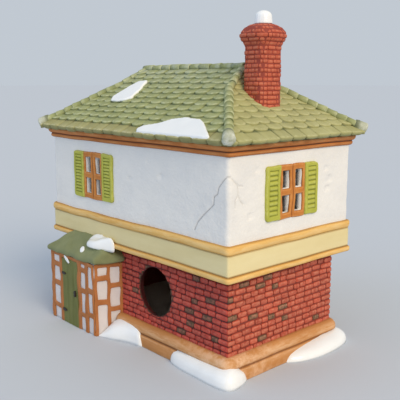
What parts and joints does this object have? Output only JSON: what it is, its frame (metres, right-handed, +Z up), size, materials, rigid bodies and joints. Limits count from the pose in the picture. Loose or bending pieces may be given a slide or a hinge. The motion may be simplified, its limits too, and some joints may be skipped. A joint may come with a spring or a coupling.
{
  "type": "ceramic village house",
  "caption": "Hollow painted ceramic village house with a jettied brick and plaster body, tiled hipped roof, chimney, lean-to porch and a round rear hole for a clip-in lamp.",
  "frame": {"origin": "middle of the house's rectangle on the surface it stands on", "axes": "+X along the house towards the porch end, +Y out of the rear wall with the lamp hole, +Z up"},
  "size_m": [0.1818, 0.1187, 0.1919],
  "materials": {
    "bare_bisque": "unglazed bisque",
    "brick_red": "matte painted bisque",
    "plinth_tan": "matte painted bisque",
    "jetty_ochre": "satin painted bisque",
    "fascia_cream": "matte painted bisque",
    "plaster_white": "matte painted bisque with hairline cracks",
    "cornice_brown": "satin painted bisque",
    "roof_olive": "matte painted bisque, dry-brushed",
    "casement_brown": "satin painted bisque",
    "shutter_green": "satin painted bisque",
    "door_green": "matte painted bisque",
    "porch_plaster": "matte painted bisque",
    "timber_brown": "matte painted bisque",
    "iron_black": "matte painted bisque",
    "snow_glaze": "gloss white glaze"
  },
  "bodies": {
    "root": {"chimney_pot": "snow_glaze", "chimney_stack": "brick_red", "corner_drift": "snow_glaze", "eave_roof_snow": "snow_glaze", "eaves_cornice": "cornice_brown", "end_drift": "snow_glaze", "floor_plate": "bare_bisque", "front_brick_wall": "brick_red", "front_door": "door_green", "front_door_frame": "timber_brown", "front_door_ironwork": "iron_black", "front_left_casement": "casement_brown", "front_left_hip_caps": "roof_olive", "front_left_shutter_a": "shutter_green", "front_left_shutter_b": "shutter_green", "front_plaster_wall": "plaster_white", "front_right_casement": "casement_brown", "front_right_hip_caps": "roof_olive", "front_right_shutter_a": "shutter_green", "front_right_shutter_b": "shutter_green", "front_roof_tiles": "roof_olive", "ground_left_casement": "casement_brown", "ground_right_casement": "casement_brown", "jetty_fascia": "fascia_cream", "jetty_sill": "jetty_ochre", "left_brick_wall": "brick_red", "left_casement": "casement_brown", "left_plaster_wall": "plaster_white", "left_roof_tiles": "roof_olive", "left_shutter_a": "shutter_green", "left_shutter_b": "shutter_green", "plinth": "plinth_tan", "porch_door": "door_green", "porch_door_ironwork": "iron_black", "porch_drift": "snow_glaze", "porch_far_timbers": "timber_brown", "porch_front_timbers": "timber_brown", "porch_near_timbers": "timber_brown", "porch_roof": "roof_olive", "porch_roof_snow": "snow_glaze", "porch_walls": "porch_plaster", "rear_brick_wall": "brick_red", "rear_casement": "casement_brown", "rear_left_hip_caps": "roof_olive", "rear_plaster_wall": "plaster_white", "rear_right_hip_caps": "roof_olive", "rear_roof_tiles": "roof_olive", "rear_shutter_a": "shutter_green", "rear_shutter_b": "shutter_green", "ridge_caps": "roof_olive", "right_brick_wall": "brick_red", "right_casement": "casement_brown", "right_plaster_wall": "plaster_white", "right_roof_tiles": "roof_olive", "right_shutter_a": "shutter_green", "right_shutter_b": "shutter_green", "roof_shell": "roof_olive", "string_course": "jetty_ochre", "upper_roof_snow": "snow_glaze"}
  },
  "joints": []
}
